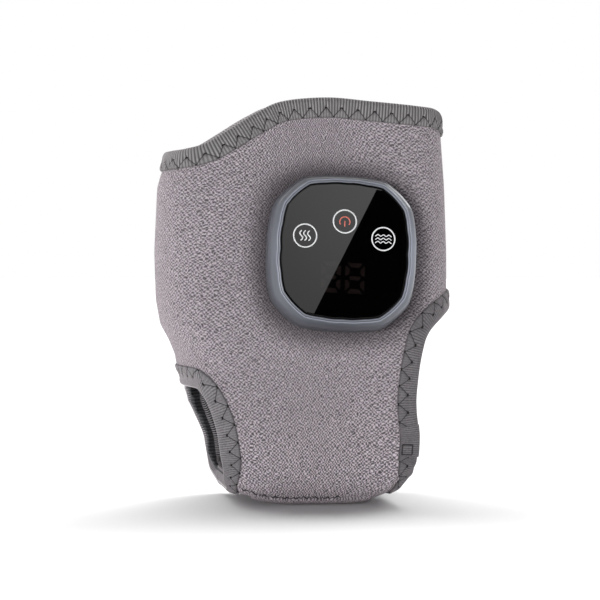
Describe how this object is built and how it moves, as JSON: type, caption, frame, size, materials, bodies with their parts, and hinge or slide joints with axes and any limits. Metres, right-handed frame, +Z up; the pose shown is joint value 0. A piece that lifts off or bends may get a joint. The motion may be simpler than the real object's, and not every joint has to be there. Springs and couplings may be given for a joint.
{
  "type": "heated ankle massager wrap",
  "caption": "Padded plush ankle sleeve with heel and foot openings, a hook-and-loop back flap and a touch-panel heat and vibration module.",
  "frame": {"origin": "middle of the flat sole on the surface it stands on, straight under the leg axis", "axes": "+Z up along the leg, -Y the side with the control module, +X towards the toes"},
  "size_m": [0.1363, 0.1053, 0.1844],
  "materials": {
    "plush": "looped plush pile",
    "lining": "brushed knit over foam",
    "binding": "ribbed stretch tape",
    "hook_tape": "hook tape",
    "heating_film": "woven heating film",
    "satin_case": "satin metallic grey",
    "touch_glass": "polished black",
    "black_plastic": "moulded",
    "ivory_plastic": "moulded",
    "rubber": "matt",
    "circuit_board": "solder mask",
    "steel": "plated",
    "battery_pouch": "foil pouch",
    "lead_insulation": "smooth",
    "tungsten": "sintered"
  },
  "bodies": {
    "wrap": {"outer_panel": "plush", "sole_piece": "plush", "lining_panel": "lining", "top_binding": "binding", "heel_binding": "binding", "foot_binding": "binding", "foot_binding_end": "binding", "underlap_binding": "binding", "heating_film": "heating_film", "thermistor": "black_plastic", "thermal_fuse": "black_plastic", "front_case": "satin_case", "touch_panel": "touch_glass", "panel_gasket": "rubber", "rear_shell": "black_plastic", "clamp_plate": "black_plastic", "case_screw_1": "steel", "case_screw_2": "steel", "case_screw_3": "steel", "case_screw_4": "steel", "plate_screw_1": "steel", "plate_screw_2": "steel", "plate_screw_3": "steel", "plate_screw_4": "steel", "control_board": "circuit_board", "digit_display": "black_plastic", "touch_spring_heat": "steel", "touch_spring_power": "steel", "touch_spring_vibration": "steel", "buzzer": "black_plastic", "heater_connector": "ivory_plastic", "heater_lead_1": "lead_insulation", "heater_lead_2": "lead_insulation", "charging_socket": "steel", "battery_pack": "battery_pouch", "battery_pad": "rubber", "vibration_motor": "steel", "motor_cradle": "rubber"},
    "back_flap": {"closure_flap": "plush", "flap_lining": "lining", "flap_binding": "binding", "hook_patch_lower": "hook_tape", "hook_patch_upper": "hook_tape"},
    "motor_rotor": {"motor_shaft": "steel", "eccentric_weight": "tungsten"}
  },
  "joints": [
    {"name": "back_flap_fold", "type": "hinge", "parent": "wrap", "child": "back_flap", "pos_m": [0.046, 0.0402, 0.13], "axis": [0, 0.1498, -0.9887], "range_deg": [0, 165]},
    {"name": "motor_spin", "type": "hinge", "parent": "wrap", "child": "motor_rotor", "pos_m": [0.01629, -0.04908, 0.08817], "axis": [0.9985, 0.0056, -0.0552], "continuous": true}
  ]
}
